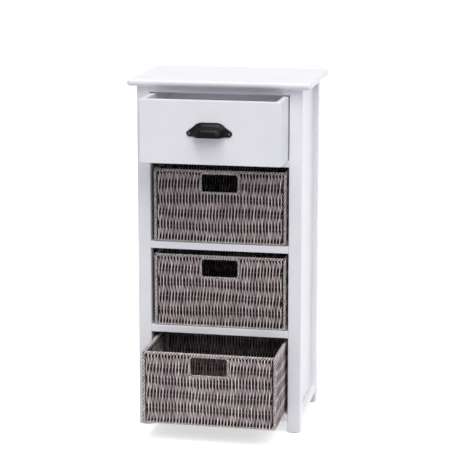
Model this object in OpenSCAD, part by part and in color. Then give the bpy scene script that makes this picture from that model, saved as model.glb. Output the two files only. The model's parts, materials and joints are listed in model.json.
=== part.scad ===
// Bathroom storage tower: a painted wooden stand with a drawer above three
// woven baskets. Each side is a panel held in grooves between two square posts.
// Frame: +X to the right seen from the front, +Y to the back, +Z up, in mm.

/* [Carcass] */
// Width over the posts
carcass_w = 380; // [300:1:520]
// Depth over the posts
carcass_d = 270; // [230:1:380]
// Height of the legs below the bottom rails
leg_h = 28; // [16:1:80]
// Clear height of each basket bay
bay_h = 182; // [150:1:240]
// Clear height of the drawer bay
drawer_bay_h = 146; // [110:1:200]

/* [Posts and rails] */
// Side of the square posts
post_w = 30; // [26:1:40]
// Rounding of the posts' long edges
post_round = 2; // [1:0.5:5]
// Height of the rails between the bays
rail_h = 16; // [14:1:24]
// Height of the rails under the top board
top_rail_h = 14; // [12:1:24]
// Depth of the front rails, front to back
rail_d = 24; // [18:1:30]
// Depth of the back rails, front to back
back_rail_d = 20; // [18:1:30]
// Step from the posts' faces back to the rails' faces
rail_step = 1; // [0.5:0.5:3]
// Width of the rail above each side panel
kicker_w = 30; // [25:1:40]

/* [Panels and shelves] */
// Thickness of the side panels
panel_t = 8; // [6:0.5:12]
// Step from the posts' outer faces in to the side panels
panel_step = 10; // [6:0.5:12]
// Depth of the grooves that hold the side panels
groove_d = 5; // [3:0.5:6]
// Thickness of the back panel
back_t = 3; // [2.5:0.5:6]
// Width of the rebate that the back panel lies in
back_lap = 8; // [5:0.5:12]
// Thickness of the shelves
shelf_t = 4; // [3:0.5:8]
// Width of the rebates that the shelves lie in
shelf_lap = 8; // [5:0.5:12]

/* [Top board] */
// Thickness of the top board
board_t = 16; // [12:1:24]
// Overhang of the top board at the front
over_front = 15; // [5:1:30]
// Overhang of the top board at each side
over_side = 20; // [5:1:30]
// Overhang of the top board at the back
over_back = 15; // [0:1:30]

/* [Drawer] */
// How far the drawer stands out as drawn
drawer_out = 105; // [0:1:120]
// Travel left beyond the place where it is drawn
drawer_more = 75; // [10:1:90]
// Thickness of the drawer front
front_t = 16; // [12:1:20]
// Rounding of the drawer front's edges
front_round = 1.5; // [0.5:0.5:3]
// Thickness of the drawer sides
drawer_side_t = 12; // [9:1:16]
// Thickness of the drawer back
drawer_back_t = 12; // [9:1:16]
// Thickness of the drawer bottom
drawer_bottom_t = 3; // [2.5:0.5:6]
// Height of the drawer bottom above the sides' lower edges
drawer_bottom_up = 8; // [5:1:15]
// Step from the sides' top edges down to the back's top edge
drawer_back_low = 10; // [0:1:30]
// Gap beside the drawer on each side
drawer_side_gap = 2; // [1:0.5:4]
// Gap above and below the drawer front
drawer_front_gap = 2; // [1:0.5:4]
// Height of the runner's guide above the rail
runner_lip = 30; // [10:1:60]
// Width of the ledge that the drawer slides on
runner_ledge = 12; // [8:1:20]
// Length of each drawer stop, front to back
stop_l = 8; // [5:1:15]
// Height of each drawer stop
stop_h = 14; // [6:1:30]

/* [Cup pull] */
// Height of the cup, and how far it stands out
cup_r = 24; // [20:1:34]
// Half width of the cup
cup_half = 33; // [28:1:44]
// Radius of the cup's shoulders
cup_shoulder = 17; // [12:1:20]
// Wall of the cup
cup_wall = 2.2; // [1.6:0.2:4]
// Width of the flange round the cup
flange_w = 7.5; // [3:0.5:9]
// Thickness of the flange
flange_t = 2.4; // [1.6:0.2:4]
// Radius of the flange's two ears
ear_r = 6.2; // [5:0.1:9]
// How far the webs out to the ears lie below the flange's shoulders
web_dip = 1; // [0:0.5:5]
// Distance from the cup's side to each screw
pull_screw_out = 12; // [8:1:20]
// Height of the screws above the cup's lower edge
pull_screw_up = 7.5; // [5:0.5:12]
// Height of the cup's lower edge above the drawer front's lower edge
pull_up = 62.5; // [20:0.5:90]

/* [Baskets] */
// Gap beside each basket
basket_side_gap = 6; // [3:1:12]
// Gap above each basket
basket_top_gap = 13; // [8:1:40]
// Gap behind a closed basket, up to the back panel
basket_back_gap = 19; // [10:1:60]
// Step from the posts' faces back to a closed basket
basket_step = 4; // [0:1:10]
// Thickness of the woven walls
basket_wall = 7; // [5:0.5:10]
// Thickness of the woven floor
basket_floor = 6; // [4:0.5:10]
// Radius of the baskets' upright corners
basket_corner = 9; // [9:1:30]
// Diameter of the wrapped rim
rim_d = 8; // [7:0.5:12]
// How far the rim's underside is cut flat, where it lies on the wall
rim_cut = 1.6; // [0.5:0.1:3]
// Width of the hand hole
hole_w = 82; // [60:1:110]
// Height of the hand hole
hole_h = 39; // [25:1:50]
// Distance from the rim's top to the hand hole
hole_down = 11; // [10:0.5:25]
// Corner radius of the hand hole
hole_round = 5; // [2:0.5:12]
// Diameter of the level wires of the frame
wire_d = 3.2; // [2.4:0.2:5]
// Diameter of the upright wires of the frame
upright_d = 2.6; // [2:0.2:4]
// Thickness of the board on the basket floor
base_t = 3; // [2:0.5:5]
// How far the lower basket stands out as drawn
basket_out = 125; // [0:1:135]

/* [Fasteners] */
// Diameter of the frame dowels
dowel_d = 8; // [6:1:8]
// Length of the frame dowels
dowel_l = 24; // [16:1:24]
// Diameter of the drawer dowels
drawer_dowel_d = 6; // [4:1:6]
// Length of the drawer dowels
drawer_dowel_l = 18; // [12:1:20]
// Side of the blocks under the top board
block_w = 20; // [16:1:30]
// Diameter of the top board's screws
board_screw_d = 3.5; // [3:0.5:5]
// Length of the top board's screws
board_screw_l = 24; // [18:1:26]
// Diameter of the pull's screws
pull_screw_d = 3.2; // [2.5:0.1:4]
// Length of the pull's screws under the head
pull_screw_l = 14; // [8:1:16]
// Diameter of the pull's screw heads
pull_head_d = 6; // [5:0.5:8]
// Height of the pull's screw heads
pull_head_t = 1.6; // [1.2:0.2:3]
// Diameter of the back panel's nails
nail_d = 1.6; // [1.2:0.1:2]
// Length of the back panel's nails
nail_l = 14; // [10:1:16]
// Diameter of the nails' heads
nail_head_d = 4.5; // [3:0.5:6]
// Thickness of the nails' heads
nail_head_t = 0.8; // [0.5:0.1:1.5]
// Diameter of the foot glides
glide_d = 20; // [14:1:24]
// Height of the foot glides
glide_h = 3; // [2:0.5:6]
// Diameter of the foot glides' nails
glide_nail_d = 2.4; // [1.6:0.2:3]
// Length of the foot glides' nails
glide_nail_l = 12; // [8:1:16]

/* [Clearances] */
// Gap round a panel or shelf in its groove or rebate
panel_clear = 0.3; // [0.1:0.05:0.5]
// Gap round a dowel, nail or screw in its hole
pin_clear = 0.1; // [0.05:0.05:0.2]
// Gap past the end of a dowel, nail or screw
end_clear = 0.4; // [0.2:0.1:1]
// Gap under a sliding drawer or basket
slide_clear = 0.3; // [0.2:0.1:1]
// Gap between the parts of one basket
weave_clear = 0.3; // [0.2:0.1:0.6]

/* [Hidden] */
$fn = 48;
PAINT = "#f4f4f6";
RAW = "#e8dcc0";
STEEL = "#b8bcc2";
BLACK = "#1e1e22";
WEAVE = "#8a7e82";
RIM = "#8a8884";
over = 1; // how far a cutter runs past a face
dowel_edge = 2; // wood between a dowel and the face beside it
back_dowel_edge = 4; // the same at the back, where the nails go in
board_flat = 1; // flat in the middle of the top board's round edges
screw_lip = 1; // straight edge of a countersunk head
least_round = 2; // smallest corner radius inside a basket

// heights: rail 0 is the bottom rail, and rail 3 carries the drawer
function rail_z(i) = leg_h + i * (rail_h + bay_h);
function bay_clear(i) = i < drawer_level ? bay_h : drawer_bay_h;
drawer_level = 3;
deck_z = rail_z(drawer_level) + rail_h;
top_rail_z = deck_z + drawer_bay_h;
board_z = top_rail_z + top_rail_h;
// faces across the width, on the right-hand side
side_x = carcass_w / 2;
post_x = side_x - post_w;
panel_x = side_x - panel_step - panel_t;
dowel_x = post_x + dowel_d / 2 + dowel_edge;
// faces along the depth
rail_back_y = rail_step + rail_d;
back_post_y = carcass_d - post_w;
back_y = carcass_d - back_t;
back_rail_y = back_y - back_rail_d;
front_dowel_y = rail_step + rail_d / 2;
back_dowel_y = back_y - dowel_d / 2 - back_dowel_edge;
// drawer
drawer_w = 2 * (post_x - drawer_side_gap);
drawer_z = deck_z + slide_clear;
drawer_top = top_rail_z - drawer_front_gap;
front_z = deck_z + drawer_front_gap;
drawer_end = back_rail_y - stop_l - end_clear;
inside_x = drawer_w / 2 - drawer_side_t;
bottom_z = drawer_z + drawer_bottom_up;
back_z = bottom_z + drawer_bottom_t;
dowel_rows = [0.25, 0.75]; // up the drawer's sides, as shares of their height
// cup pull
cup_flat = cup_half - cup_shoulder;
cup_low = cup_r - cup_shoulder;
pull_screw_x = cup_half + pull_screw_out;
pull_z = front_z + pull_up;
// baskets
basket_w = 2 * (post_x - basket_side_gap);
basket_d = back_y - basket_step - basket_back_gap;
basket_h = bay_h - basket_top_gap;
rim_h = rim_d - rim_cut;
wall_top = basket_h - rim_h;
wire_in = basket_wall + weave_clear + wire_d / 2;
wire_low = basket_floor + weave_clear + wire_d / 2;
wire_high = wall_top - wire_d / 2;
base_in = wire_in + wire_d / 2 + weave_clear;
upright_rows = [0.25, 0.75]; // uprights along each side, as shares of its depth
upright_across = 0.32; // uprights in front and behind, as a share of the width from the middle
// the origin is under the middle of the whole object as drawn
front_y = -max(over_front, basket_out - basket_step, drawer_out + cup_r);
mid_y = (front_y + carcass_d + over_back) / 2;

module centred() translate([0, -mid_y, 0]) children();

module both_sides() {
    children();
    mirror([1, 0, 0]) children();
}

module left_side() mirror([1, 0, 0]) children();

// a rectangle with round corners, its lower left corner at the origin
module round_rect(w, d, r) {
    translate([r, 0]) square([w - 2 * r, d]);
    translate([0, r]) square([w, d - 2 * r]);
    for (x = [r, w - r], y = [r, d - r]) translate([x, y]) circle(r);
}

// a box with every edge rounded
module eased_box(size, r) {
    translate([r, r, 0]) cube(size - [2 * r, 2 * r, 0]);
    translate([r, 0, r]) cube(size - [2 * r, 0, 2 * r]);
    translate([0, r, r]) cube(size - [0, 2 * r, 2 * r]);
    for (x = [r, size.x - r], y = [r, size.y - r], z = [r, size.z - r])
        translate([x, y, z]) sphere(r);
    for (y = [r, size.y - r], z = [r, size.z - r])
        translate([r, y, z]) rotate([0, 90, 0]) cylinder(r = r, h = size.x - 2 * r);
    for (x = [r, size.x - r], z = [r, size.z - r])
        translate([x, r, z]) rotate([-90, 0, 0]) cylinder(r = r, h = size.y - 2 * r);
    for (x = [r, size.x - r], y = [r, size.y - r])
        translate([x, y, r]) cylinder(r = r, h = size.z - 2 * r);
}

// round pins along one axis, centred; a hole is the pin plus its clearances
module pin_x(d, l, hole) rotate([0, 90, 0]) pin_z(d, l, hole);
module pin_y(d, l, hole) rotate([90, 0, 0]) pin_z(d, l, hole);
module pin_z(d, l, hole) {
    grow = hole ? 1 : 0;
    cylinder(d = d + 2 * pin_clear * grow, h = l + 2 * end_clear * grow, center = true);
}

// the dowels of the right-hand joints: rail ends, then side rail ends
module rail_dowel(z, back, hole)
    translate([post_x, back ? back_dowel_y : front_dowel_y, z])
        pin_x(dowel_d, dowel_l, hole);

module side_dowel(z, back, hole)
    translate([dowel_x, back ? back_post_y : post_w, z])
        pin_y(dowel_d, dowel_l, hole);

low_side_z = leg_h + dowel_d / 2 + dowel_edge;
top_mid_z = top_rail_z + top_rail_h / 2;
rail_mids = [for (i = [0:drawer_level]) rail_z(i) + rail_h / 2];
dowel_zs = concat(rail_mids, [top_mid_z]);

module post_dowels(back, hole) {
    for (z = dowel_zs) rail_dowel(z, back, hole);
    for (z = [low_side_z, top_mid_z]) side_dowel(z, back, hole);
}

// nails on the right-hand half: down the post, and along each rail
nail_x = post_x + back_lap / 2;
nail_rail_x = post_x / 2;
nail_zs = [for (i = [0:drawer_level]) rail_z(i) + rail_h + bay_clear(i) / 2];

module nail_at(x, z, hole)
    translate([x, carcass_d - nail_l / 2, z]) pin_y(nail_d, nail_l, hole);

module post_nails(hole) for (z = nail_zs) nail_at(nail_x, z, hole);

module rail_nails(hole) for (z = dowel_zs) nail_at(nail_rail_x, z, hole);

// posts
panel_z = rail_z(0) + rail_h - groove_d;

module post(back) {
    y0 = back ? back_post_y : 0;
    difference() {
        translate([post_x, y0, glide_h])
            linear_extrude(board_z - glide_h) round_rect(post_w, post_w, post_round);
        // groove for the side panel
        translate([panel_x - panel_clear / 2, back ? back_post_y - over : post_w - groove_d, panel_z])
            cube([panel_t + panel_clear, groove_d + over, top_rail_z - panel_z]);
        post_dowels(back, true);
        translate([post_x + post_w / 2, y0 + post_w / 2, glide_h + glide_nail_l / 2])
            pin_z(glide_nail_d, glide_nail_l, true);
        if (back) {
            translate([post_x - over, back_y, -over])
                cube([back_lap + over, back_t + over, board_z + 2 * over]);
            post_nails(true);
        }
    }
}

module post_front_right() color(PAINT) centred() post(false);
module post_front_left() color(PAINT) centred() left_side() post(false);
module post_back_right() color(PAINT) centred() post(true);
module post_back_left() color(PAINT) centred() left_side() post(true);

// sides
module side_panel()
    translate([panel_x, post_w - groove_d + panel_clear, panel_z + panel_clear])
        cube([panel_t, back_post_y - post_w + 2 * (groove_d - panel_clear),
              top_rail_z - panel_z - panel_clear]);

module side_panel_right() color(PAINT) centred() side_panel();
module side_panel_left() color(PAINT) centred() left_side() side_panel();

module side_rail()
    difference() {
        translate([post_x, post_w, leg_h])
            cube([post_w - rail_step, back_post_y - post_w, rail_h]);
        translate([panel_x - panel_clear / 2, post_w - over, leg_h + rail_h - groove_d])
            cube([panel_t + panel_clear, back_post_y - post_w + 2 * over, groove_d + over]);
        translate([post_x - over, post_w - over, leg_h + rail_h - shelf_t])
            cube([shelf_lap + over, back_post_y - post_w + 2 * over, shelf_t + over]);
        for (back = [false, true]) side_dowel(low_side_z, back, true);
    }

module side_rail_right() color(PAINT) centred() side_rail();
module side_rail_left() color(PAINT) centred() left_side() side_rail();

module kicker_rail()
    difference() {
        translate([panel_x + panel_t - kicker_w, post_w, top_rail_z])
            cube([kicker_w, back_post_y - post_w, top_rail_h]);
        for (back = [false, true]) side_dowel(top_mid_z, back, true);
    }

module kicker_rail_right() color(PAINT) centred() kicker_rail();
module kicker_rail_left() color(PAINT) centred() left_side() kicker_rail();

// front and back rails; a rebated rail carries a shelf's edge
module front_rail(z, h, rebated)
    difference() {
        translate([-post_x, rail_step, z]) cube([2 * post_x, rail_d, h]);
        if (rebated)
            translate([-post_x - over, rail_back_y - shelf_lap, z + h - shelf_t])
                cube([2 * (post_x + over), shelf_lap + over, shelf_t + over]);
        both_sides() rail_dowel(z + h / 2, false, true);
    }

module back_rail(z, h, rebated)
    difference() {
        translate([-post_x, back_rail_y, z]) cube([2 * post_x, back_rail_d, h]);
        if (rebated)
            translate([-post_x - over, back_rail_y - over, z + h - shelf_t])
                cube([2 * (post_x + over), shelf_lap + over, shelf_t + over]);
        both_sides() rail_dowel(z + h / 2, true, true);
        both_sides() nail_at(nail_rail_x, z + h / 2, true);
    }

module front_top_rail() color(PAINT) centred() front_rail(top_rail_z, top_rail_h, false);
module drawer_rail() color(PAINT) centred() front_rail(rail_z(drawer_level), rail_h, false);
module basket_rail_upper() color(PAINT) centred() front_rail(rail_z(2), rail_h, true);
module basket_rail_lower() color(PAINT) centred() front_rail(rail_z(1), rail_h, true);
module bottom_rail() color(PAINT) centred() front_rail(rail_z(0), rail_h, true);
module back_rail_top() color(PAINT) centred() back_rail(top_rail_z, top_rail_h, false);
module back_rail_drawer() color(PAINT) centred() back_rail(rail_z(drawer_level), rail_h, false);
module back_rail_upper() color(PAINT) centred() back_rail(rail_z(2), rail_h, true);
module back_rail_lower() color(PAINT) centred() back_rail(rail_z(1), rail_h, true);
module back_rail_bottom() color(PAINT) centred() back_rail(rail_z(0), rail_h, true);

module back_panel()
    color(PAINT) centred() difference() {
        x = post_x + back_lap - panel_clear;
        translate([-x, back_y, leg_h]) cube([2 * x, back_t, board_z - leg_h - panel_clear]);
        both_sides() post_nails(true);
        both_sides() rail_nails(true);
    }

// shelves: narrow between the posts, wider between the sides
module shelf(i, wide_x) {
    y0 = rail_back_y - shelf_lap + panel_clear;
    y1 = back_rail_y + shelf_lap - panel_clear;
    x = post_x - panel_clear;
    translate([0, 0, rail_z(i) + rail_h - shelf_t]) {
        translate([-x, y0, 0]) cube([2 * x, y1 - y0, shelf_t]);
        translate([-wide_x, post_w + panel_clear, 0])
            cube([2 * wide_x, back_post_y - post_w - 2 * panel_clear, shelf_t]);
    }
}

module shelf_upper() color(PAINT) centred() shelf(2, panel_x - panel_clear);
module shelf_lower() color(PAINT) centred() shelf(1, panel_x - panel_clear);
module shelf_bottom() color(PAINT) centred() shelf(0, post_x + shelf_lap - panel_clear);

module shelf_batten(i)
    translate([post_x, post_w, rail_z(i)])
        cube([panel_x - post_x, back_post_y - post_w, rail_h - shelf_t]);

module shelf_battens_upper() color(PAINT) centred() both_sides() shelf_batten(2);
module shelf_battens_lower() color(PAINT) centred() both_sides() shelf_batten(1);

// drawer runners: a ledge between the rails and a guide between the posts
module drawer_runner() {
    translate([post_x - runner_ledge, rail_back_y, rail_z(drawer_level)])
        cube([runner_ledge, back_rail_y - rail_back_y, rail_h]);
    translate([post_x - over, post_w, rail_z(drawer_level)])
        cube([panel_x - post_x + over, back_post_y - post_w, rail_h]);
    translate([post_x, post_w, rail_z(drawer_level)])
        cube([panel_x - post_x, back_post_y - post_w, rail_h + runner_lip]);
}

module drawer_runner_right() color(RAW) centred() drawer_runner();
module drawer_runner_left() color(RAW) centred() left_side() drawer_runner();

module drawer_stops()
    color(RAW) centred() both_sides()
        translate([post_x - runner_ledge, back_rail_y - stop_l, deck_z])
            cube([runner_ledge, stop_l, stop_h]);

// top board and what fixes it
block_x = panel_x + panel_t - kicker_w - block_w;
block_ys = [rail_back_y, back_rail_y - block_w];
screw_head_d = 2 * board_screw_d;

module board_screw(hole) {
    grow = hole ? pin_clear : 0;
    cylinder(d = board_screw_d + 2 * grow, h = board_screw_l + (hole ? end_clear : 0));
    translate([0, 0, hole ? -over : 0])
        cylinder(d = screw_head_d + 2 * grow, h = screw_lip + (hole ? over : 0));
    translate([0, 0, screw_lip])
        cylinder(d1 = screw_head_d + 2 * grow, d2 = board_screw_d + 2 * grow, h = board_screw_d / 2);
}

module board_screws(hole)
    both_sides() for (y = block_ys)
        translate([block_x + block_w / 2, y + block_w / 2, top_rail_z]) board_screw(hole);

module top_board()
    color(PAINT) centred() difference() {
        translate([-side_x - over_side, -over_front, board_z])
            eased_box([carcass_w + 2 * over_side, carcass_d + over_front + over_back, board_t],
                      (board_t - board_flat) / 2);
        board_screws(true);
    }

module corner_blocks()
    color(RAW) centred() difference() {
        both_sides() for (y = block_ys)
            translate([block_x, y, top_rail_z]) cube([block_w, block_w, top_rail_h]);
        board_screws(true);
    }

module top_board_screws() color(STEEL) centred() board_screws(false);

module dowels()
    color(RAW) centred() both_sides() for (back = [false, true]) post_dowels(back, false);

module back_panel_nails()
    color(STEEL) centred() both_sides() {
        post_nails(false);
        rail_nails(false);
        for (z = nail_zs) translate([nail_x, carcass_d, z]) nail_head();
        for (z = dowel_zs) translate([nail_rail_x, carcass_d, z]) nail_head();
    }

module nail_head() rotate([-90, 0, 0]) cylinder(d = nail_head_d, h = nail_head_t);

module foot_glides()
    color("#d8d8d4") centred() both_sides() for (y = [0, back_post_y])
        translate([post_x + post_w / 2, y + post_w / 2, 0]) {
            cylinder(d = glide_d, h = glide_h);
            cylinder(d = glide_nail_d, h = glide_h + glide_nail_l);
        }

// drawer
module at_drawer() centred() translate([0, -drawer_out, 0]) children();

function drawer_row_z(f) = bottom_z + (drawer_top - bottom_z) * f;

// dowels from the front into the side, and from the side into the back
module drawer_joint_dowels(hole)
    for (f = dowel_rows) {
        translate([inside_x + drawer_side_t / 2, front_t, drawer_row_z(f)])
            pin_y(drawer_dowel_d, drawer_dowel_l, hole);
        translate([inside_x, drawer_end - drawer_back_t / 2, drawer_row_z(f)])
            pin_x(drawer_dowel_d, drawer_dowel_l, hole);
    }

// the slot that the drawer bottom lies in, in the front and the sides
module bottom_slot()
    translate([-inside_x - groove_d, front_t - groove_d, bottom_z - panel_clear / 2])
        cube([2 * (inside_x + groove_d), drawer_end - front_t + groove_d + over,
              drawer_bottom_t + panel_clear]);

module pull_screw_places()
    both_sides() translate([pull_screw_x, 0, pull_z + pull_screw_up]) children();

module drawer_front()
    color(PAINT) at_drawer() difference() {
        translate([-drawer_w / 2, 0, front_z])
            eased_box([drawer_w, front_t, drawer_top - front_z], front_round);
        bottom_slot();
        both_sides() drawer_joint_dowels(true);
        pull_screw_places() translate([0, pull_screw_l / 2 - flange_t, 0])
            pin_y(pull_screw_d, pull_screw_l, true);
    }

module drawer_side()
    difference() {
        translate([inside_x, front_t, drawer_z])
            cube([drawer_side_t, drawer_end - front_t, drawer_top - drawer_z]);
        bottom_slot();
        drawer_joint_dowels(true);
    }

module drawer_side_right() color(PAINT) at_drawer() drawer_side();
module drawer_side_left() color(PAINT) at_drawer() left_side() drawer_side();

module drawer_back()
    color(PAINT) at_drawer() difference() {
        translate([-inside_x, drawer_end - drawer_back_t, back_z])
            cube([2 * inside_x, drawer_back_t, drawer_top - drawer_back_low - back_z]);
        both_sides() drawer_joint_dowels(true);
    }

module drawer_bottom()
    color(PAINT) at_drawer()
        translate([-inside_x - groove_d + panel_clear, front_t - groove_d + panel_clear, bottom_z])
            cube([2 * (inside_x + groove_d - panel_clear),
                  drawer_end - front_t + groove_d - panel_clear, drawer_bottom_t]);

module drawer_dowels() color(RAW) at_drawer() both_sides() drawer_joint_dowels(false);

// cup pull: a quarter of a turned cup on a flange, with webs out to two ears
module cup_outline(grow, below)
    intersection() {
        union() {
            translate([-cup_flat, -below]) square([2 * cup_flat, cup_r + grow + below]);
            translate([-cup_half - grow, -below]) square([2 * (cup_half + grow), cup_low + below]);
            for (s = [-1, 1]) translate([s * cup_flat, cup_low]) circle(cup_shoulder + grow);
        }
        translate([-2 * cup_half, -below]) square([4 * cup_half, 4 * cup_r]);
    }

module turned_cup(grow)
    rotate([0, 90, 0]) rotate_extrude() rotate(90) mirror([0, 1]) cup_outline(grow, 0);

module ear() translate([pull_screw_x, pull_screw_up]) circle(ear_r);

module ear_web()
    intersection() {
        hull() {
            ear();
            translate([cup_flat, cup_low]) circle(cup_shoulder + flange_w - web_dip);
        }
        square([pull_screw_x + ear_r, cup_r]);
    }

module flange()
    rotate([90, 0, 0]) linear_extrude(flange_t) difference() {
        union() {
            cup_outline(flange_w, 0);
            both_sides() {
                ear();
                ear_web();
            }
        }
        cup_outline(-cup_wall, over);
    }

module cup_pull()
    color(BLACK) at_drawer() difference() {
        translate([0, 0, pull_z]) {
            flange();
            difference() {
                turned_cup(0);
                turned_cup(-cup_wall);
                translate([-2 * cup_half, 0, -2 * cup_r])
                    cube([4 * cup_half, 2 * cup_r, 4 * cup_r]);
                translate([-2 * cup_half, -2 * cup_r, -2 * cup_r])
                    cube([4 * cup_half, 4 * cup_r, 2 * cup_r]);
            }
        }
        pull_screw_places() pin_y(pull_screw_d, 4 * flange_t, true);
    }

module cup_pull_screws()
    color(BLACK) at_drawer() pull_screw_places() {
        translate([0, pull_screw_l / 2 - flange_t, 0]) pin_y(pull_screw_d, pull_screw_l, false);
        translate([0, -flange_t, 0]) rotate([90, 0, 0]) intersection() {
            cylinder(d = pull_head_d, h = pull_head_t);
            translate([0, 0, pull_head_t - pull_head_d]) sphere(pull_head_d);
        }
    }

// baskets: bay 2 is the upper one; each module draws around x = 0 from its own front
module at_bay(i, out)
    centred() translate([0, basket_step - out, rail_z(i) + rail_h + slide_clear]) children();

// plan of the basket, drawn in from its outer face
module basket_plan(inset)
    translate([-basket_w / 2 + inset, inset])
        round_rect(basket_w - 2 * inset, basket_d - 2 * inset,
                   max(basket_corner - inset, least_round));

module hand_hole()
    translate([-hole_w / 2, basket_wall + over, basket_h - hole_down - hole_h]) rotate([90, 0, 0])
        linear_extrude(basket_wall + 2 * over) round_rect(hole_w, hole_h, hole_round);

module basket_weave()
    difference() {
        linear_extrude(wall_top) basket_plan(0);
        translate([0, 0, basket_floor]) linear_extrude(basket_h) basket_plan(basket_wall);
        hand_hole();
    }

// a bar of the given section carried round the basket, its middle drawn in from the outer face
module ring(inset, r) {
    w = basket_w / 2 - inset - r;
    near = inset + r;
    far = basket_d - inset - r;
    for (s = [-1, 1]) {
        translate([s * (w + r), near, 0]) rotate([-90, 0, 0]) linear_extrude(far - near)
            mirror([0, 1]) children();
        translate([-w, s < 0 ? near - r : far + r, 0]) rotate([90, 0, 90])
            linear_extrude(2 * w) children();
    }
    turns = [[w, far, 0], [-w, far, 90], [-w, near, 180], [w, near, 270]];
    for (t = turns) translate([t.x, t.y, 0]) rotate(t.z)
        rotate_extrude(angle = 90) translate([r, 0]) children();
}

// a round bar with a flat underside, whose middle is at the origin
module rim_section()
    translate([0, rim_d / 2 - rim_cut]) intersection() {
        circle(d = rim_d);
        translate([-rim_d, rim_cut - rim_d / 2]) square([2 * rim_d, rim_d]);
    }

module basket_rim()
    translate([0, 0, wall_top])
        ring(basket_wall / 2, max(basket_corner - basket_wall / 2, rim_d / 2 + over)) rim_section();

module basket_frame() {
    corner = basket_corner - wire_in;
    wire_x = basket_w / 2 - wire_in;
    for (z = [wire_low, wire_high]) translate([0, 0, z])
        ring(wire_in, max(corner, wire_d)) circle(d = wire_d);
    wire_ys = [wire_in, basket_d - wire_in];
    beside = [for (s = [-1, 1], f = upright_rows) [s * wire_x, basket_d * f]];
    across = [for (s = [-1, 1], y = wire_ys) [s * basket_w * upright_across, y]];
    for (p = concat(beside, across)) translate([p.x, p.y, wire_low])
        cylinder(d = upright_d, h = wire_high - wire_low);
}

module basket_base()
    translate([0, 0, basket_floor]) linear_extrude(base_t) basket_plan(base_in);

module basket_upper_weave() color(WEAVE) at_bay(2, 0) basket_weave();
module basket_upper_rim() color(RIM) at_bay(2, 0) basket_rim();
module basket_upper_frame() color(STEEL) at_bay(2, 0) basket_frame();
module basket_upper_base() color(WEAVE) at_bay(2, 0) basket_base();
module basket_middle_weave() color(WEAVE) at_bay(1, 0) basket_weave();
module basket_middle_rim() color(RIM) at_bay(1, 0) basket_rim();
module basket_middle_frame() color(STEEL) at_bay(1, 0) basket_frame();
module basket_middle_base() color(WEAVE) at_bay(1, 0) basket_base();
module basket_lower_weave() color(WEAVE) at_bay(0, basket_out) basket_weave();
module basket_lower_rim() color(RIM) at_bay(0, basket_out) basket_rim();
module basket_lower_frame() color(STEEL) at_bay(0, basket_out) basket_frame();
module basket_lower_base() color(WEAVE) at_bay(0, basket_out) basket_base();

top_board();
post_front_left();
post_front_right();
post_back_left();
post_back_right();
side_panel_left();
side_panel_right();
side_rail_left();
side_rail_right();
kicker_rail_left();
kicker_rail_right();
front_top_rail();
drawer_rail();
basket_rail_upper();
basket_rail_lower();
bottom_rail();
back_rail_top();
back_rail_drawer();
back_rail_upper();
back_rail_lower();
back_rail_bottom();
back_panel();
shelf_upper();
shelf_lower();
shelf_bottom();
shelf_battens_upper();
shelf_battens_lower();
drawer_runner_left();
drawer_runner_right();
drawer_stops();
corner_blocks();
dowels();
top_board_screws();
back_panel_nails();
foot_glides();
drawer_front();
drawer_side_left();
drawer_side_right();
drawer_back();
drawer_bottom();
drawer_dowels();
cup_pull();
cup_pull_screws();
basket_upper_weave();
basket_upper_rim();
basket_upper_frame();
basket_upper_base();
basket_middle_weave();
basket_middle_rim();
basket_middle_frame();
basket_middle_base();
basket_lower_weave();
basket_lower_rim();
basket_lower_frame();
basket_lower_base();
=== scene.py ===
import json
import math
import random

import bmesh
import bpy
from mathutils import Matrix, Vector

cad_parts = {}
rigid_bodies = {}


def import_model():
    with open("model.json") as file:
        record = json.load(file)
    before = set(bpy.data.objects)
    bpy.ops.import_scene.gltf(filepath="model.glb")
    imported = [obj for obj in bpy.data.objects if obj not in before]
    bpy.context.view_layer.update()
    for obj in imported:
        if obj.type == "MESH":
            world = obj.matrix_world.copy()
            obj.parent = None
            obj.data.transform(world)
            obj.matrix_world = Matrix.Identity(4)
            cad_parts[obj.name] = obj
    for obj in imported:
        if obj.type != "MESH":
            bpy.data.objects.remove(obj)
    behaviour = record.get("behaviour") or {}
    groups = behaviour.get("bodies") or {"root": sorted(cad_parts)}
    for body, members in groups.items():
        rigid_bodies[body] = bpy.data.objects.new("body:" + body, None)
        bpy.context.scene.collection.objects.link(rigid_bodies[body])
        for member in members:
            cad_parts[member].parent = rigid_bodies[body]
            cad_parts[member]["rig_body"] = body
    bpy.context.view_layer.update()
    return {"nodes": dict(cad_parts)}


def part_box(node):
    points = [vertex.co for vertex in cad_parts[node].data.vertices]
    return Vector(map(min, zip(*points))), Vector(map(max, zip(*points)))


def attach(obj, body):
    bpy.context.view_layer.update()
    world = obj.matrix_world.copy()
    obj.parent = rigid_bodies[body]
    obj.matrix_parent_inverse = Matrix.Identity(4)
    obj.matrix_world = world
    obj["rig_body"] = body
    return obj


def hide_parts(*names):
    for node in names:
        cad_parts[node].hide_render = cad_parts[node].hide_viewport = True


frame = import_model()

mm = 0.001  # sizes below are in millimetres, and Blender's are in metres
tiny = 0.01  # points nearer than this, in mm, are one
crease = 35  # faces that meet at less than this, in degrees, are shaded as one surface
nodes = frame["nodes"]


# ---- small helpers
def hexColour(code):  # sRGB hex to the linear colour that the shaders take
    steps = [int(code[i:i + 2], 16) / 255 for i in (1, 3, 5)]
    return [c / 12.92 if c <= 0.04045 else ((c + 0.055) / 1.055) ** 2.4 for c in steps] + [1]


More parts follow.
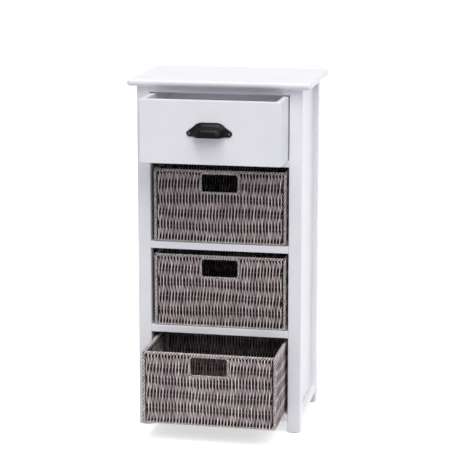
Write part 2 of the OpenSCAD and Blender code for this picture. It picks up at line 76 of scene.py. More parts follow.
def addNode(tree, kind, settings={}, links={}):
    # a setting is a ramp's stops, an input by its name or number, or a property
    node = tree.nodes.new(kind)
    for name, value in settings.items():
        if name == "stops":
            stops = node.color_ramp.elements
            for i, (place, code) in enumerate(value):
                stop = stops[i] if i < 2 else stops.new(place)  # a new ramp has two
                stop.position = place
                stop.color = hexColour(code)
        elif isinstance(name, int) or name in node.inputs:
            node.inputs[name].default_value = value
        else:
            setattr(node, name, value)
    for name, socket in links.items():
        tree.links.new(socket, node.inputs[name])
    return node


def newMaterial(name, constants):
    material = bpy.data.materials.new(name)
    material.use_nodes = True
    shader = material.node_tree.nodes["Principled BSDF"]
    for socket, value in constants.items():
        shader.inputs[socket].default_value = value
    return material, material.node_tree, shader


def giveMaterial(node, material):  # a CAD node keeps its mesh and gets a better finish
    nodes[node].data.materials.clear()
    nodes[node].data.materials.append(material)


def shadeSmooth(bm):
    for face in bm.faces:
        face.smooth = True
    for edge in bm.edges:
        edge.smooth = edge.is_manifold and edge.calc_face_angle() < math.radians(crease)


def finishPiece(name, bm, material, body, replaced=()):
    mesh = bpy.data.meshes.new(name)
    bm.to_mesh(mesh)
    bm.free()
    mesh.materials.append(material)
    piece = bpy.data.objects.new(name, mesh)
    bpy.context.scene.collection.objects.link(piece)
    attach(piece, body)
    if replaced:
        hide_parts(*replaced)
    return piece


# ---- camera: the photograph's angle, from the right and a little above
cameraLook = {
    "place": (0.7713, -3.8354, 1.2854),  # in metres
    "turn": 11.33, "tip": 11.11,  # degrees to the left, and down
    "lens": 136.8, "sensor": 36, "shiftY": -0.05,
}

cameraData = bpy.data.cameras.new("camera")
cameraData.sensor_width = cameraLook["sensor"]
cameraData.lens = cameraLook["lens"]
cameraData.shift_y = cameraLook["shiftY"]
camera = bpy.data.objects.new("camera", cameraData)
camera.location = cameraLook["place"]
camera.rotation_euler = (math.radians(90 - cameraLook["tip"]), 0, math.radians(cameraLook["turn"]))
bpy.context.scene.collection.objects.link(camera)
bpy.context.scene.camera = camera


# ---- studio: a white floor, soft white surroundings and two broad, far lamps
studioLook = {
    "floorSize": 80,  # in metres
    "floorColour": "#FDFDFD", "floorGlow": 0.6,  # as the eye sees the floor
    "floorBounce": "#C8C8CC",  # as it throws light back on the object
    "surround": 0.3,  # how strongly the surroundings light the object
    "lamps": {  # where each shines from, how strongly, and how wide it is in degrees
        "frontLamp": ((0.32, -0.41, 0.66), 1.95, 58),
        "topLamp": ((-0.05, -0.3, 0.9), 0.85, 24)},
}


def seenDirectly(tree):
    # 1 for what the eye, a mirror or a glass shows, and 0 for the light that falls on the object
    rays = addNode(tree, "ShaderNodeLightPath")
    seen = addNode(tree, "ShaderNodeMath", {"operation": "MAXIMUM"},
                   {0: rays.outputs["Is Camera Ray"], 1: rays.outputs["Is Transmission Ray"]})
    return addNode(tree, "ShaderNodeMath", {"operation": "MAXIMUM"},
                   {0: seen.outputs[0], 1: rays.outputs["Is Glossy Ray"]}).outputs[0]


def makeStudio(look):
    world = bpy.data.worlds.new("studio")
    bpy.context.scene.world = world
    world.use_nodes = True
    tree = world.node_tree
    tree.nodes.clear()
    light = addNode(tree, "ShaderNodeBackground", {"Color": (1, 1, 1, 1), "Strength": look["surround"]})
    white = addNode(tree, "ShaderNodeBackground", {"Color": (1, 1, 1, 1), "Strength": 1})
    mix = addNode(tree, "ShaderNodeMixShader",
                  links={0: seenDirectly(tree), 1: light.outputs[0], 2: white.outputs[0]})
    addNode(tree, "ShaderNodeOutputWorld", links={"Surface": mix.outputs[0]})

    for name, (place, power, wide) in look["lamps"].items():
        data = bpy.data.lights.new(name, "SUN")
        data.energy = power
        data.angle = math.radians(wide)
        lamp = bpy.data.objects.new(name, data)
        lamp.rotation_euler = Vector(place).to_track_quat("Z", "Y").to_euler()
        bpy.context.scene.collection.objects.link(lamp)

    bm = bmesh.new()
    bmesh.ops.create_grid(bm, x_segments=1, y_segments=1, size=look["floorSize"] / 2)
    mesh = bpy.data.meshes.new("floor")
    bm.to_mesh(mesh)
    bm.free()
    floor = bpy.data.objects.new("floor", mesh)
    bpy.context.scene.collection.objects.link(floor)
    material = bpy.data.materials.new("matteWhiteFloor")  # plain white, with the object's shadow
    material.use_nodes = True
    tree = material.node_tree
    tree.nodes.clear()
    bounce = addNode(tree, "ShaderNodeBsdfDiffuse", {"Color": hexColour(look["floorBounce"])})
    white = addNode(tree, "ShaderNodeBsdfDiffuse", {"Color": hexColour(look["floorColour"])})
    glow = addNode(tree, "ShaderNodeEmission", {"Strength": look["floorGlow"]})
    white = addNode(tree, "ShaderNodeAddShader", links={0: white.outputs[0], 1: glow.outputs[0]})
    mix = addNode(tree, "ShaderNodeMixShader",
                  links={0: seenDirectly(tree), 1: bounce.outputs[0], 2: white.outputs[0]})
    addNode(tree, "ShaderNodeOutputMaterial", links={"Surface": mix.outputs[0]})
    mesh.materials.append(material)


makeStudio(studioLook)
bpy.context.scene.view_settings.view_transform = "Standard"
print("stage: camera, lamps and floor")


# ---- materials
def sprayedPaint(name, look):  # satin lacquer sprayed on sanded wood: even, with a faint orange peel
    material, tree, shader = newMaterial(
        name, {"Roughness": look["roughness"], "IOR": 1.5, "Specular IOR Level": look["specular"]})
    place = addNode(tree, "ShaderNodeTexCoord").outputs["Object"]
    cloud = addNode(tree, "ShaderNodeTexNoise", {"Scale": 1 / (look["cloud"] * mm), "Detail": 2},
                    {"Vector": place})
    tone = addNode(tree, "ShaderNodeValToRGB", {"stops": [(0.3, look["low"]), (0.7, look["high"])]},
                   {"Fac": cloud.outputs["Fac"]})
    tree.links.new(tone.outputs["Color"], shader.inputs["Base Color"])
    peel = addNode(tree, "ShaderNodeTexNoise", {"Scale": 1 / (look["peel"] * mm), "Detail": 3},
                   {"Vector": place})
    bump = addNode(tree, "ShaderNodeBump", {"Strength": 1, "Distance": look["peelHeight"] * mm},
                   {"Height": peel.outputs["Fac"]})
    tree.links.new(bump.outputs["Normal"], shader.inputs["Normal"])
    return material


def bareWood(name, look):  # planed pine: pale and matt, with fine darker grain
    material, tree, shader = newMaterial(name, {"Roughness": look["roughness"], "IOR": 1.45})
    place = addNode(tree, "ShaderNodeTexCoord").outputs["Object"]
    stretched = addNode(tree, "ShaderNodeMapping", {"Scale": [1 / (size * mm) for size in look["grain"]]},
                        {"Vector": place})
    rings = addNode(tree, "ShaderNodeTexNoise", {"Scale": 1, "Detail": 5, "Distortion": 0.6},
                    {"Vector": stretched.outputs[0]})
    tone = addNode(tree, "ShaderNodeValToRGB", {"stops": [(0.35, look["low"]), (0.65, look["high"])]},
                   {"Fac": rings.outputs["Fac"]})
    tree.links.new(tone.outputs["Color"], shader.inputs["Base Color"])
    bump = addNode(tree, "ShaderNodeBump", {"Strength": 0.5, "Distance": look["relief"] * mm},
                   {"Height": rings.outputs["Fac"]})
    tree.links.new(bump.outputs["Normal"], shader.inputs["Normal"])
    return material


def plainSolid(name, look):  # one colour, with a fine grain in its tone and relief
    constants = {"Roughness": look["roughness"], "Metallic": look.get("metallic", 0)}
    if "specular" in look:
        constants["Specular IOR Level"] = look["specular"]
    material, tree, shader = newMaterial(name, constants)
    place = addNode(tree, "ShaderNodeTexCoord").outputs["Object"]
    grit = addNode(tree, "ShaderNodeTexNoise", {"Scale": 1 / (look["grit"] * mm), "Detail": 4},
                   {"Vector": place})
    tone = addNode(tree, "ShaderNodeValToRGB", {"stops": [(0.3, look["low"]), (0.7, look["high"])]},
                   {"Fac": grit.outputs["Fac"]})
    tree.links.new(tone.outputs["Color"], shader.inputs["Base Color"])
    bump = addNode(tree, "ShaderNodeBump", {"Strength": 0.6, "Distance": look["relief"] * mm},
                   {"Height": grit.outputs["Fac"]})
    tree.links.new(bump.outputs["Normal"], shader.inputs["Normal"])
    return material


def paperCord(name, look):
    # twisted paper: plies wind round each cord and its fibres are patchy, and painted shade makes it dark
    # deep in the weave while painted highlight makes its outer ridges pale
    material, tree, shader = newMaterial(name, {"Roughness": look["roughness"], "Specular IOR Level": 0.25})
    lay = addNode(tree, "ShaderNodeAttribute", {"attribute_name": "cordLay"})
    part = addNode(tree, "ShaderNodeSeparateXYZ", links={0: lay.outputs["Vector"]})
    angle = addNode(tree, "ShaderNodeMath", {"operation": "ARCTAN2"},
                    {0: part.outputs["Y"], 1: part.outputs["X"]})
    wound = addNode(tree, "ShaderNodeMath", {"operation": "MULTIPLY_ADD", 1: look["plies"]},
                    {0: angle.outputs[0]})
    climb = addNode(tree, "ShaderNodeMath",
                    {"operation": "MULTIPLY", 1: 2 * math.pi * look["plies"] / look["lead"]},
                    {0: part.outputs["Z"]})
    tree.links.new(climb.outputs[0], wound.inputs[2])
    ply = addNode(tree, "ShaderNodeMath", {"operation": "SINE"}, {0: wound.outputs[0]})

    tone = addNode(tree, "ShaderNodeAttribute", {"attribute_name": "cordShadeAndDye"})
    # X is the point's painted shade and Y its cord's dye
    depth = addNode(tree, "ShaderNodeSeparateXYZ", links={0: tone.outputs["Vector"]})
    place = addNode(tree, "ShaderNodeTexCoord").outputs["Object"]
    patches = addNode(tree, "ShaderNodeMapping", {"Scale": [1 / (size * mm) for size in look["fibre"]]},
                      {"Vector": place})
    fibre = addNode(tree, "ShaderNodeTexNoise", {"Scale": 1, "Detail": 6, "Roughness": 0.65},
                    {"Vector": patches.outputs[0]})
    lift = addNode(tree, "ShaderNodeMath", {"operation": "MULTIPLY_ADD", 1: look["fibreTone"]},
                   {0: fibre.outputs["Fac"], 2: depth.outputs["X"]})
    lift = addNode(tree, "ShaderNodeMath", {"operation": "MULTIPLY_ADD", 1: look["plyTone"]},
                   {0: ply.outputs[0], 2: lift.outputs[0]})
    lift = addNode(tree, "ShaderNodeMath", {"operation": "SUBTRACT", 1: look["fibreTone"] / 2},
                   {0: lift.outputs[0]})
    shade = addNode(tree, "ShaderNodeValToRGB", {"stops": look["stops"]}, {"Fac": lift.outputs[0]})
    dye = addNode(tree, "ShaderNodeValToRGB", {"stops": look["dyes"]}, {"Fac": depth.outputs["Y"]})
    colour = addNode(tree, "ShaderNodeMix", {"data_type": "RGBA", "blend_type": "MULTIPLY", 0: 1},
                     {6: shade.outputs["Color"], 7: dye.outputs["Color"]})
    tree.links.new(colour.outputs[2], shader.inputs["Base Color"])

    height = addNode(tree, "ShaderNodeMath", {"operation": "MULTIPLY_ADD", 1: look["fibreRelief"]},
                     {0: fibre.outputs["Fac"], 2: ply.outputs[0]})
    bump = addNode(tree, "ShaderNodeBump", {"Strength": 0.8, "Distance": look["relief"] * mm},
                   {"Height": height.outputs[0]})
    tree.links.new(bump.outputs["Normal"], shader.inputs["Normal"])
    return material


# patterns' sizes and reliefs' heights are in mm, and lead is how far a ply climbs in a turn
paint = sprayedPaint("satinWhiteLacquer", {
    "low": "#EAEAF0", "high": "#EEEEF3", "roughness": 0.3, "specular": 0.5,
    "cloud": 60, "peel": 1.6, "peelHeight": 0.01})
paintedBoard = sprayedPaint("paintedHardboard", {
    "low": "#E4E4EA", "high": "#E9E9EE", "roughness": 0.42, "specular": 0.4,
    "cloud": 25, "peel": 0.9, "peelHeight": 0.02})
pine = bareWood("planedPine", {
    "low": "#C79F6A", "high": "#E6CFA2", "roughness": 0.6, "grain": (3, 60, 3), "relief": 0.05})
zinc = plainSolid("zincPlatedSteel", {
    "low": "#A9ACB2", "high": "#C2C5CA", "roughness": 0.32, "metallic": 1, "grit": 0.8, "relief": 0.01})
blackLacquer = plainSolid("blackLacqueredZinc", {
    "low": "#08080A", "high": "#0C0C0F", "roughness": 0.22, "specular": 0.12, "grit": 1.2, "relief": 0.008})
darkSteel = plainSolid("blackenedSteel", {
    "low": "#37373B", "high": "#46464A", "roughness": 0.3, "grit": 0.8, "relief": 0.01})
nylon = plainSolid("mouldedNylon", {
    "low": "#D2D2CC", "high": "#DCDCD6", "roughness": 0.5, "grit": 2, "relief": 0.01})
frameWire = plainSolid("lacqueredFrameWire", {
    "low": "#2A2728", "high": "#383435", "roughness": 0.4, "grit": 1, "relief": 0.02})
greyBoard = plainSolid("greyBoard", {
    "low": "#5D5653", "high": "#6F6764", "roughness": 0.85, "grit": 0.7, "relief": 0.05})
weaveCord = paperCord("twistedPaperCord", {
    # the stops run from black, the painted shade deep in the weave, to near white, the painted highlight on
    # the ridges
    "stops": [(0.24, "#0C0707"), (0.42, "#50474A"), (0.56, "#B8ADAF"), (0.8, "#FFF7F8")],
    "dyes": [(0.0, "#C9BEC0"), (0.5, "#EFE8E8"), (1.0, "#FFFDF8")],
    "roughness": 0.75, "plies": 3, "lead": 11, "plyTone": 0.09,
    "fibre": (2.2, 9, 2.2), "fibreTone": 0.34, "fibreRelief": 0.4, "relief": 0.14})
wrapCord = paperCord("wrappedPaperCord", {
    # the stops run from black painted shade between the wound cords to near-white painted highlight on their
    # outer sides
    "stops": [(0.1, "#0C0B0A"), (0.36, "#666062"), (0.62, "#C0BABC"), (0.92, "#F8F3F4")],
    "dyes": [(0.0, "#E4DFDD"), (0.5, "#F4F1EF"), (1.0, "#FFFEFA")],
    "roughness": 0.75, "plies": 3, "lead": 9, "plyTone": 0.06,
    "fibre": (3, 3, 3), "fibreTone": 0.6, "fibreRelief": 0.4, "relief": 0.12})
print("stage: materials")


# ---- painted and bare wood: each piece is its CAD solid with hand-eased edges
easeLook = {
    "ease": 0.8, "steps": 3,
    "flat": 1,  # faces that meet at less than this, in degrees, are joined first
    "sharper": 50, "longer": 11,  # an edge is eased if it is sharper than this, in degrees, and longer, in mm
}

paintedNodes = [
    "top_board", "post_front_left", "post_front_right", "post_back_left", "post_back_right",
    "side_panel_left", "side_panel_right", "side_rail_left", "side_rail_right",
    "kicker_rail_left", "kicker_rail_right", "front_top_rail", "drawer_rail", "basket_rail_upper",
    "basket_rail_lower", "bottom_rail", "back_rail_top", "back_rail_drawer", "back_rail_upper",
    "back_rail_lower", "back_rail_bottom", "shelf_battens_upper", "shelf_battens_lower",
    "drawer_front", "drawer_side_left", "drawer_side_right", "drawer_back"]
boardNodes = ["back_panel", "shelf_upper", "shelf_lower", "shelf_bottom", "drawer_bottom"]
bareNodes = ["drawer_runner_left", "drawer_runner_right", "drawer_stops", "corner_blocks"]
smallNodes = {
    "dowels": pine, "drawer_dowels": pine, "top_board_screws": zinc, "back_panel_nails": zinc,
    "foot_glides": nylon, "cup_pull_screws": darkSteel}


def easedCopy(node, material, look):
    bm = bmesh.new()
    bm.from_mesh(nodes[node].data)
    bmesh.ops.remove_doubles(bm, verts=bm.verts, dist=tiny * mm)
    bmesh.ops.dissolve_limit(bm, angle_limit=math.radians(look["flat"]), verts=bm.verts, edges=bm.edges)
    sharper = math.radians(look["sharper"])
    corners = [e for e in bm.edges if e.is_manifold and e.is_convex
               and e.calc_face_angle() > sharper and e.calc_length() > look["longer"] * mm]
    bmesh.ops.bevel(bm, geom=corners, affect="EDGES", offset=look["ease"] * mm, segments=look["steps"],
                    profile=0.5, material=-1, clamp_overlap=True)
    shadeSmooth(bm)
    piece = finishPiece(node + "_eased", bm, material, nodes[node]["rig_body"], [node])
    piece.modifiers.new("evenShading", "WEIGHTED_NORMAL").keep_sharp = True


for node in paintedNodes:
    easedCopy(node, paint, easeLook)
for node in boardNodes:
    easedCopy(node, paintedBoard, easeLook | {"ease": 0.3})
for node in bareNodes:
    easedCopy(node, pine, easeLook | {"ease": 0.4})
for node, material in smallNodes.items():
    giveMaterial(node, material)
print("stage: wood")


# ---- cup pull: a quarter of a turned cup, cast in one with its flange and the webs out to two ears
pullLook = {
    "deep": 24, "half": 33, "shoulder": 17,  # the cup's reach out and up, half its width, and its corners
    "wall": 2.2, "lipSoft": 0.7, "lipFrom": 1,  # its thickness, its round lip, and where that starts
    "flange": 7.5, "thick": 2.4,  # the flange's width round it, and its thickness
    "ear": 6.2, "earOut": 12, "earUp": 7.5,  # the ears' radius, and where their middles are
    "dip": 1,  # how far the webs lie below the flange's shoulders
    "blend": (8, 4),  # how much of the shoulder, in degrees, and of the web, in mm, their bend takes up
    "cove": 6.6, "coveCurve": 1.35,  # how far the cove climbs the cup, and how soon
    "coveEdge": (0.5, 0.6),  # how far inside the flange's edge and behind its face the cove starts
    "coveBack": (1.5, 1),  # how far its hidden side lies inside the cup and in front of the drawer
    "steps": {"shoulder": 16, "turn": 20, "flange": 12, "bend": 4, "ear": 18, "cove": 6, "lip": 3},
}


def arc(centre, radius, start, end, steps):  # points on a circle, with the angles in degrees
    turns = [math.radians(start + (end - start) * i / steps) for i in range(steps + 1)]
    return [(centre[0] + radius * math.cos(t), centre[1] + radius * math.sin(t)) for t in turns]


def cupOutline(grow, look):  # from the right end of the lip over the top to the left end
    shoulder = (look["half"] - look["shoulder"], look["deep"] - look["shoulder"])
    right = [(look["half"] + grow, 0)]
    right += arc(shoulder, look["shoulder"] + grow, 0, 90, look["steps"]["shoulder"])
    return right + [(-x, z) for x, z in reversed(right)]


def flangeOutline(look):  # over the top from ear to ear, and back along the cup's inside
    shoulder = Vector((look["half"] - look["shoulder"], look["deep"] - look["shoulder"]))
    ear = Vector((look["half"] + look["earOut"], look["earUp"]))
    wide = look["shoulder"] + look["flange"]
    web = wide - look["dip"]
    reach = ear - shoulder
    middle = math.degrees(math.atan2(reach.y, reach.x))
    lean = math.degrees(math.acos((web - look["ear"]) / reach.length))  # the web's edge just touches the ear
    meet = middle + lean - math.degrees(math.acos(web / wide))
    early, late = look["blend"]
    right = arc(shoulder, wide, 90, meet + early, look["steps"]["flange"])
    begin, bend = Vector(right[-1]), Vector(arc(shoulder, wide, meet, meet, 1)[0])
    aroundEar = arc(ear, look["ear"], middle + lean, middle - lean, look["steps"]["ear"])
    along = bend + (Vector(aroundEar[0]) - bend).normalized() * late
    for i in range(look["steps"]["bend"]):
        t = (i + 1) / look["steps"]["bend"]
        right.append(tuple(begin.lerp(bend, t).lerp(bend.lerp(along, t), t)))
    right += aroundEar
    x, z = aroundEar[-1]
    right.append((x - z / math.tan(math.radians(90 + middle - lean)), 0))
    return right + cupOutline(-look["wall"], look) + [(-x, z) for x, z in reversed(right)]


def makePull(look):  # drawn in mm about the middle of its lip, and moved into place at the end
    low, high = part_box("cup_pull")
    steps = look["steps"]
    bm = bmesh.new()
    # the cup's wall, turned forward about its lip
    pairs = zip(cupOutline(0, look), cupOutline(-look["wall"], look))
    rows = [[bm.verts.new((x, 0, z)) for x, z in pair] for pair in pairs]
    for a, b in zip(rows, rows[1:]):
        bm.faces.new((a[0], a[1], b[1], b[0]))
    bmesh.ops.spin(bm, geom=bm.verts[:] + bm.edges[:] + bm.faces[:], cent=(0, 0, 0), axis=(1, 0, 0),
                   angle=math.pi / 2, steps=steps["turn"], use_merge=False)
    bmesh.ops.remove_doubles(bm, verts=bm.verts, dist=tiny)
    bmesh.ops.recalc_face_normals(bm, faces=bm.faces)
    # its lip is where the edges are level and sharp, clear of the drawer
    lip = [e for e in bm.edges if e.is_manifold and max(abs(v.co.z) for v in e.verts) < tiny
           and e.calc_face_angle() > math.radians(crease)
           and min(abs(v.co.y) for v in e.verts) > look["lipFrom"]]
    bmesh.ops.bevel(bm, geom=lip, affect="EDGES", offset=look["lipSoft"], segments=steps["lip"],
                    profile=0.5, material=-1)
    # the flange
    plate = bm.faces.new([bm.verts.new((x, 0, z)) for x, z in flangeOutline(look)])
    out = bmesh.ops.extrude_face_region(bm, geom=[plate])["geom"]
    face = [v for v in out if isinstance(v, bmesh.types.BMVert)]
    bmesh.ops.translate(bm, verts=face, vec=(0, -look["thick"], 0))
    bmesh.ops.recalc_face_normals(bm, faces=bm.faces)
    # the cove that fills the corner between cup and flange
    edge, behind = look["coveEdge"]
    inside, ahead = look["coveBack"]
    outer = look["flange"] - edge
    section = [(-inside, -ahead), (outer, -ahead)]
    for i in range(steps["cove"] + 1):
        climb = i / steps["cove"]
        section.append((outer - (outer + inside) * climb,
                        behind - look["thick"] - look["cove"] * climb ** look["coveCurve"]))
    rows = [[bm.verts.new((x, y, z)) for x, z in cupOutline(grow, look)] for grow, y in section]
    made = []
    for a, b in zip(rows, rows[1:] + rows[:1]):
        made += [bm.faces.new((a[i], a[i + 1], b[i + 1], b[i])) for i in range(len(a) - 1)]
    made += [bm.faces.new([row[i] for row in rows]) for i in (0, -1)]
    bmesh.ops.recalc_face_normals(bm, faces=made)

    for vert in bm.verts:
        vert.co = Vector((vert.co.x, vert.co.y + high.y / mm, vert.co.z + low.z / mm)) * mm
    shadeSmooth(bm)
    finishPiece("cup_pull_cast", bm, blackLacquer, "drawer", ["cup_pull"])


makePull(pullLook)
print("stage: pull")


# ---- baskets: upright paper cords pass in front of and behind level wires, and the edges are wrapped
basketLook = {
    "inset": 3.5,  # how far the walls' middle lies inside the basket's outside
    "cornerGap": 9.7,  # from a basket's corner to its first upright cord's space
    "cord": {"size": (1.88, 1.8), "pitch": 3.72, "sides": 5},  # half its width and half its thickness
    "tighter": (0.94, 0.6),  # the side and back walls' cord spacing and swing beside the front's
    # level wires: size is their radius, and low and high are how high the first and the last lie
    "wire": {"size": 1.3, "count": 6, "low": 5, "high": 165, "steps": 6, "sides": 6, "dye": 0.6},
    "closing": (11, 0.22),  # how far from a wire the cords nearly close up, and their swing's share there
    "ends": (1.2, 0.75, 0.9),  # how high the cords start, and their share of the swing at their two ends
    "drift": (0.7, 0.6, 0.5),  # how far a cord strays sideways, and its old and new shares of that
    "lean": 0.5,  # how far it slants where it changes sides
    "slip": 1.4,  # how far up or down it changes sides early or late
    "wander": (3, 13, 23),  # how far the rows stray up and down, over how many cords and mm
    "uneven": 0.1,  # how much the cords differ in thickness
    "tones": {  # painted shade and highlight, from 0, black, to 1 and over, the palest, at each place on the cords and wires; slits and grooves are painted dark, ridges painted pale
        "slit": -0.1, "ridge": 1.2, "crossing": 0.62, "bulge": 0.08, "wire": 0.44,
        "groove": 0.3, "strand": 0.72},
    "speck": 0.07,  # how much the upright cords' tone changes along them
    "sideWallShade": 0.85,  # painted shade: the side and back walls' tone beside the front's
    # the floor's cords: size is their radius, and painted shade darkens them towards the floor's middle, so
    # they are palest that far from it
    "floor": {"size": 1.75, "wave": 1.1, "up": 3.1, "steps": 15, "sides": 4, "palest": 3},
    # wrapped bars: bar and cord are radii, starts is how many cords are wound, and lead is a turn's climb
    "rim": {"bar": 3.9, "cord": 1.9, "starts": 2, "lead": 12.6, "steps": 10, "sides": 6, "round": 1.5},
    "foot": {"bar": 2.4, "cord": 1, "starts": 2, "lead": 5.5, "steps": 6, "sides": 4, "round": 6},
    "post": {"bar": 3.8, "cord": 2.1, "starts": 3, "lead": 27, "steps": 10, "sides": 6},
    "postEnds": (2, 1),  # how far above the foot a corner post starts, and how far above the wall it ends
    "hole": {"bar": 3.1, "cord": 1.6, "starts": 2, "lead": 11, "steps": 8, "sides": 6, "round": 5},
    "core": {"step": 12, "sides": 6, "dye": 0.5},  # the plain bar under the wound cords, painted black as painted shade in the gaps between them
    "loose": (0.4, 0.16),  # how far a wound cord strays from its even turns, and how much its tone changes
    "holeSize": (82, 39), "holeDown": 11,  # the hole inside its border, and how far below the rim's top
    "holeClear": 2,  # how far below the hole's border a cord may still change sides
}
sideways, inwards, upwards = Vector((1, 0, 0)), Vector((0, 1, 0)), Vector((0, 0, 1))


def cordTemplate(rings, sides):  # a straight cord of radius one, with its rings one unit apart
    bm = bmesh.new()
    bmesh.ops.create_cone(bm, cap_ends=True, segments=sides, radius1=1, radius2=1, depth=rings - 1)
    lengthwise = [e for e in bm.edges if abs(e.verts[0].co.z - e.verts[1].co.z) > 0.5]
    bmesh.ops.subdivide_edges(bm, edges=lengthwise, cuts=rings - 2)
    bmesh.ops.translate(bm, verts=bm.verts, vec=(0, 0, (rings - 1) / 2))
    for face in bm.faces:
        face.smooth = abs(face.normal.z) < 0.5
    mesh = bpy.data.meshes.new("cordTemplate")
    bm.to_mesh(mesh)
    bm.free()
    return mesh


templates = {}


def layCord(bm, points, outs, size, sides, tones, dye):
    # size is half the cord's width and thickness; tones(i, y) is the painted shade of ring i, where y is its
    # way out
    rings = len(points)
    if (rings, sides) not in templates:
        templates[rings, sides] = cordTemplate(rings, sides)
    first = len(bm.verts)
    bm.from_mesh(templates[rings, sides])
    bm.verts.ensure_lookup_table()
    lay = bm.verts.layers.float_vector["cordLay"]
    tone = bm.verts.layers.float_vector["cordShadeAndDye"]
    runs, acrosses = [0], []
    for i in range(rings):
        ahead = points[min(i + 1, rings - 1)] - points[max(i - 1, 0)]
        acrosses.append(ahead.cross(outs[i]).normalized())
        if i:
            runs.append(runs[-1] + (points[i] - points[i - 1]).length)
    for vert in bm.verts[first:]:
        i = round(vert.co.z)
        x, y = vert.co.x, vert.co.y
        vert.co = (points[i] + size[0] * x * acrosses[i] + size[1] * y * outs[i]) * mm
        vert[lay] = (x, y, runs[i])
        vert[tone] = (tones(i, y), dye, 0)


def loopPoint(s, w, h, r):  # a point s along a rounded rectangle from its lower left, and the way out there
    quarter = math.pi * r / 2
    for k in range(4):
        along = Vector((math.cos(k * math.pi / 2), math.sin(k * math.pi / 2)))
        out = Vector((along.y, -along.x))
        straight, reach = (w - 2 * r, h / 2) if k % 2 == 0 else (h - 2 * r, w / 2)
        if s <= straight:
            return out * reach + along * (s - straight / 2), out
        s -= straight
        if s <= quarter or k == 3:
            turn = s / r
            way = out * math.cos(turn) + along * math.sin(turn)
            return out * (reach - r) + along * straight / 2 + way * r, way
        s -= quarter


def wrapBar(bm, axisAt, length, look, whole, dice):
    # cords wound side by side round a bar: axisAt(s) gives its middle and two ways across it
    turns = max(1, round(length / look["lead"]))
    steps = turns * look["steps"]
    middle = look["bar"] - look["cord"]
    wobble, speck = whole["loose"]
    tones = whole["tones"]
    for start in range(look["starts"]):
        points, outs = [], []
        for j in range(steps + 1):
            centre, a, b = axisAt(length * j / steps)
            turn = 2 * math.pi * (j / look["steps"] + start / look["starts"])
            outs.append(a * math.cos(turn) + b * math.sin(turn))
            stray = (a.cross(b) * dice.uniform(-1, 1) + outs[-1] * dice.uniform(-1, 0)) * wobble
            points.append(centre + outs[-1] * middle + stray)
        specks = [dice.uniform(-1, 1) * speck for point in points]
        # painted shade and highlight: each wound cord is darker on its side towards the bar and pale on its
        # side facing out
        layCord(bm, points, outs, (look["cord"], look["cord"]), look["sides"],
                lambda i, y: tones["groove"] + tones["strand"] * max(0, y) ** 2 + specks[i], dice.random())
    # the bar is painted black, as painted shade in the gaps between the wound cords
    core = whole["core"]
    count = max(2, round(length / core["step"]))
    axis = [axisAt(length * j / count) for j in range(count + 1)]
    layCord(bm, [a[0] for a in axis], [a[1] for a in axis], (middle, middle), core["sides"],
            lambda i, y: 0, core["dye"])


def wrapLoop(bm, centre, up, size, look, whole, dice):
    # a wrapped bar bent round a rounded rectangle, which is size wide, high and round, and stands along up
    across = sideways.cross(up)

    def axisAt(s):
        point, out = loopPoint(s, *size)
        return centre + sideways * point.x + up * point.y, sideways * out.x + up * out.y, across

    length = 2 * (size[0] + size[1]) - (8 - 2 * math.pi) * size[2]
    wrapBar(bm, axisAt, length, look, whole, dice)


def newCordMesh():
    # cordLay is a point's place across and along its cord, and the second layer holds its painted shade and
    # its cord's dye
    bm = bmesh.new()
    bm.verts.layers.float_vector.new("cordLay")
    bm.verts.layers.float_vector.new("cordShadeAndDye")
    return bm


def measureBasket(name, look):  # the sizes that a basket's pieces share, from the middle of its front foot
    low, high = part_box(name + "_weave")
    w, d, h = (high - low) / mm
    top = (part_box(name + "_rim")[1].z - low.z) / mm
    inset, corner = look["inset"], look["cornerGap"]
    wire = look["wire"]
    rise = (wire["high"] - wire["low"]) / (wire["count"] - 1)
    holeW, holeH = [side + 2 * look["hole"]["bar"] for side in look["holeSize"]]
    return {
        "place": Vector(((low.x + high.x) / 2, low.y, low.z)) / mm,
        "w": w, "d": d, "h": h, "top": top,
        "wires": [wire["low"] + rise * i for i in range(wire["count"])],
        "holeW": holeW, "holeH": holeH, "holeZ": top - look["holeDown"] - look["holeSize"][1] / 2,
        "walls": [  # each wall's start, its way along, its length, and whether it is the front
            (Vector((-w / 2 + corner, inset, 0)), sideways, w - 2 * corner, True),
            (Vector((w / 2 - inset, corner, 0)), inwards, d - 2 * corner, False),
            (Vector((w / 2 - corner, d - inset, 0)), -sideways, w - 2 * corner, False),
            (Vector((-w / 2 + inset, d - corner, 0)), -inwards, d - 2 * corner, False)]}


def wallRings(wires, h, look):
    # along an upright cord: height, share of the swing (1 in front, -1 behind) and share of the lean
    begin, bottom, top = look["ends"]
    far, part = look["closing"]
    rings = [(begin, bottom, 0)]
    for i, (z, above) in enumerate(zip(wires, wires[1:])):
        side = 1 if i % 2 == 0 else -1
        rings += [(z, side, 0), (z + far, part * side, 1), (above - far, -part * side, -1)]
    return rings + [(h, -top if len(wires) % 2 == 0 else top, 0)]


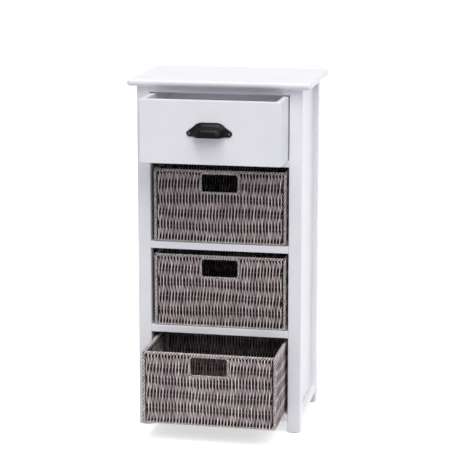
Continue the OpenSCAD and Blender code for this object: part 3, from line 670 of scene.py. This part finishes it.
def weaveWall(bm, basket, wall, seed, look, dice):
    start, along, length, isFront = wall
    out = along.cross(upwards)
    rings = wallRings(basket["wires"], basket["h"], look)
    closer, flatter = (1, 1) if isFront else look["tighter"]
    # painted shade: the side and back walls are darker than the front
    wallShade = 1 if isFront else look["sideWallShade"]
    drift, kept, fresh = look["drift"]
    wander, wanderAlong, wanderUp = look["wander"]
    tones = look["tones"]
    count = round(length / (look["cord"]["pitch"] * closer))
    for k in range(count):
        base = start + along * length * (k + 0.5) / count
        front = 1 if k % 2 == 0 else -1
        own = rings
        if isFront and abs(base.x) < basket["holeW"] / 2:
            stop = basket["holeZ"] - basket["holeH"] / 2
            own = [r for r in rings if r[0] < stop - look["holeClear"]] + [(stop, 0, 0)]
        thick = 1 + dice.uniform(-1, 1) * look["uneven"]
        size = [half * thick for half in look["cord"]["size"]]
        swing = (look["inset"] - size[1]) * flatter
        points, shares, stray = [], [], 0
        for z, side, lean in own:
            if own[0][0] < z < own[-1][0]:  # each wall's rows wander in their own way, and the ends stay
                z += wander * math.sin(k / wanderAlong + z / wanderUp + 2 * seed + start.x)
            slip = dice.uniform(-1, 1) * look["slip"] if abs(lean) == 1 else 0
            stray = kept * stray + fresh * dice.uniform(-1, 1) * drift
            aside = stray + lean * front * look["lean"]
            points.append(basket["place"] + base + along * aside + out * (front * side * swing)
                          + upwards * (z + slip))
            shares.append(front * side)
        specks = [dice.uniform(-1, 1) * look["speck"] for ring in own]

        def lit(i, y):  # painted highlight and shade: pale ridges outside, black slits within, and a mid tone where the cords change sides
            share = abs(shares[i])
            ridge = max(0, y if shares[i] > 0 else -y) ** 2
            swung = tones["slit"] + tones["ridge"] * ridge
            crossing = tones["crossing"] + tones["bulge"] * abs(y)
            return wallShade * (share * swung + (1 - share) * crossing) + specks[i]

        layCord(bm, points, [out] * len(own), size, look["cord"]["sides"], lit, dice.random())


def weaveFloor(bm, basket, look, dice):  # cords that lie from front to back
    floor, inset = look["floor"], look["inset"]
    half, steps = floor["size"], floor["steps"]
    wide, deep = basket["w"] - 2 * inset, basket["d"] - 2 * inset
    count = round(wide / look["cord"]["pitch"])
    for k in range(count):
        x = -basket["w"] / 2 + inset + wide * (k + 0.5) / count
        wave = [(1 if (k + j) % 2 else -1) * floor["wave"] for j in range(steps + 1)]
        points = [basket["place"] + Vector((x, inset + deep * j / steps, floor["up"] + wave[j]))
                  for j in range(steps + 1)]
        # painted shade: each floor cord is darker near the floor's middle and palest towards its crowns above
        # and below
        layCord(bm, points, [-upwards] * (steps + 1), (half, half), floor["sides"],
                lambda i, y: abs(half * y - wave[i]) / floor["palest"], dice.random())


def layWires(bm, basket, look):
    # between the cords, and into the corner posts; the first and the last are hidden by the foot and the rim
    wire = look["wire"]
    into = look["cornerGap"] - look["inset"]
    for z in basket["wires"][1:-1]:
        for start, along, length, isFront in basket["walls"]:
            ends = [(-into, length + into)]
            if isFront and abs(z - basket["holeZ"]) < basket["holeH"] / 2:
                edge = (length - basket["holeW"]) / 2
                ends = [(-into, edge), (length - edge, length + into)]
            for a, b in ends:
                points = [basket["place"] + start + along * (a + (b - a) * j / wire["steps"]) + upwards * z
                          for j in range(wire["steps"] + 1)]
                layCord(bm, points, [along.cross(upwards)] * len(points), (wire["size"], wire["size"]),
                        wire["sides"], lambda i, y: look["tones"]["wire"], wire["dye"])


def makeBasket(name, seed, look):
    dice = random.Random(seed)
    basket = measureBasket(name, look)
    place, w, d, h = [basket[key] for key in ("place", "w", "d", "h")]
    inset, rim, foot, post, hole = [look[key] for key in ("inset", "rim", "foot", "post", "hole")]

    bm = newCordMesh()
    for wall in basket["walls"]:
        weaveWall(bm, basket, wall, seed, look, dice)
    weaveFloor(bm, basket, look, dice)
    layWires(bm, basket, look)
    finishPiece(name + "_cords", bm, weaveCord, name, [name + "_weave"])

    bm = newCordMesh()
    wrapLoop(bm, place + Vector((0, d / 2, basket["top"] - rim["bar"])), inwards,
             (w - 2 * inset, d - 2 * inset, rim["bar"] + rim["round"]), rim, look, dice)
    finishPiece(name + "_rimWrap", bm, wrapCord, name, [name + "_rim"])

    # the foot's edge, the corner posts and the border of the hand hole
    bm = newCordMesh()
    wrapLoop(bm, place + Vector((0, d / 2, foot["bar"])), inwards,
             (w - 2 * foot["bar"], d - 2 * foot["bar"], foot["round"]), foot, look, dice)
    begin, over = look["postEnds"]
    for x in (-w / 2 + post["bar"], w / 2 - post["bar"]):
        for y in (post["bar"], d - post["bar"]):
            base = place + Vector((x, y, begin))
            wrapBar(bm, lambda s: (base + upwards * s, sideways, inwards), h + over - begin, post, look, dice)
    wrapLoop(bm, place + Vector((0, inset, basket["holeZ"])), upwards,
             (basket["holeW"], basket["holeH"], hole["round"] + hole["bar"]), hole, look, dice)
    finishPiece(name + "_edgeWrap", bm, wrapCord, name)

    giveMaterial(name + "_frame", frameWire)
    giveMaterial(name + "_base", greyBoard)


for seed, name in enumerate(("basket_upper", "basket_middle", "basket_lower")):
    makeBasket(name, seed, basketLook)
for mesh in templates.values():
    bpy.data.meshes.remove(mesh)
print("stage: baskets")
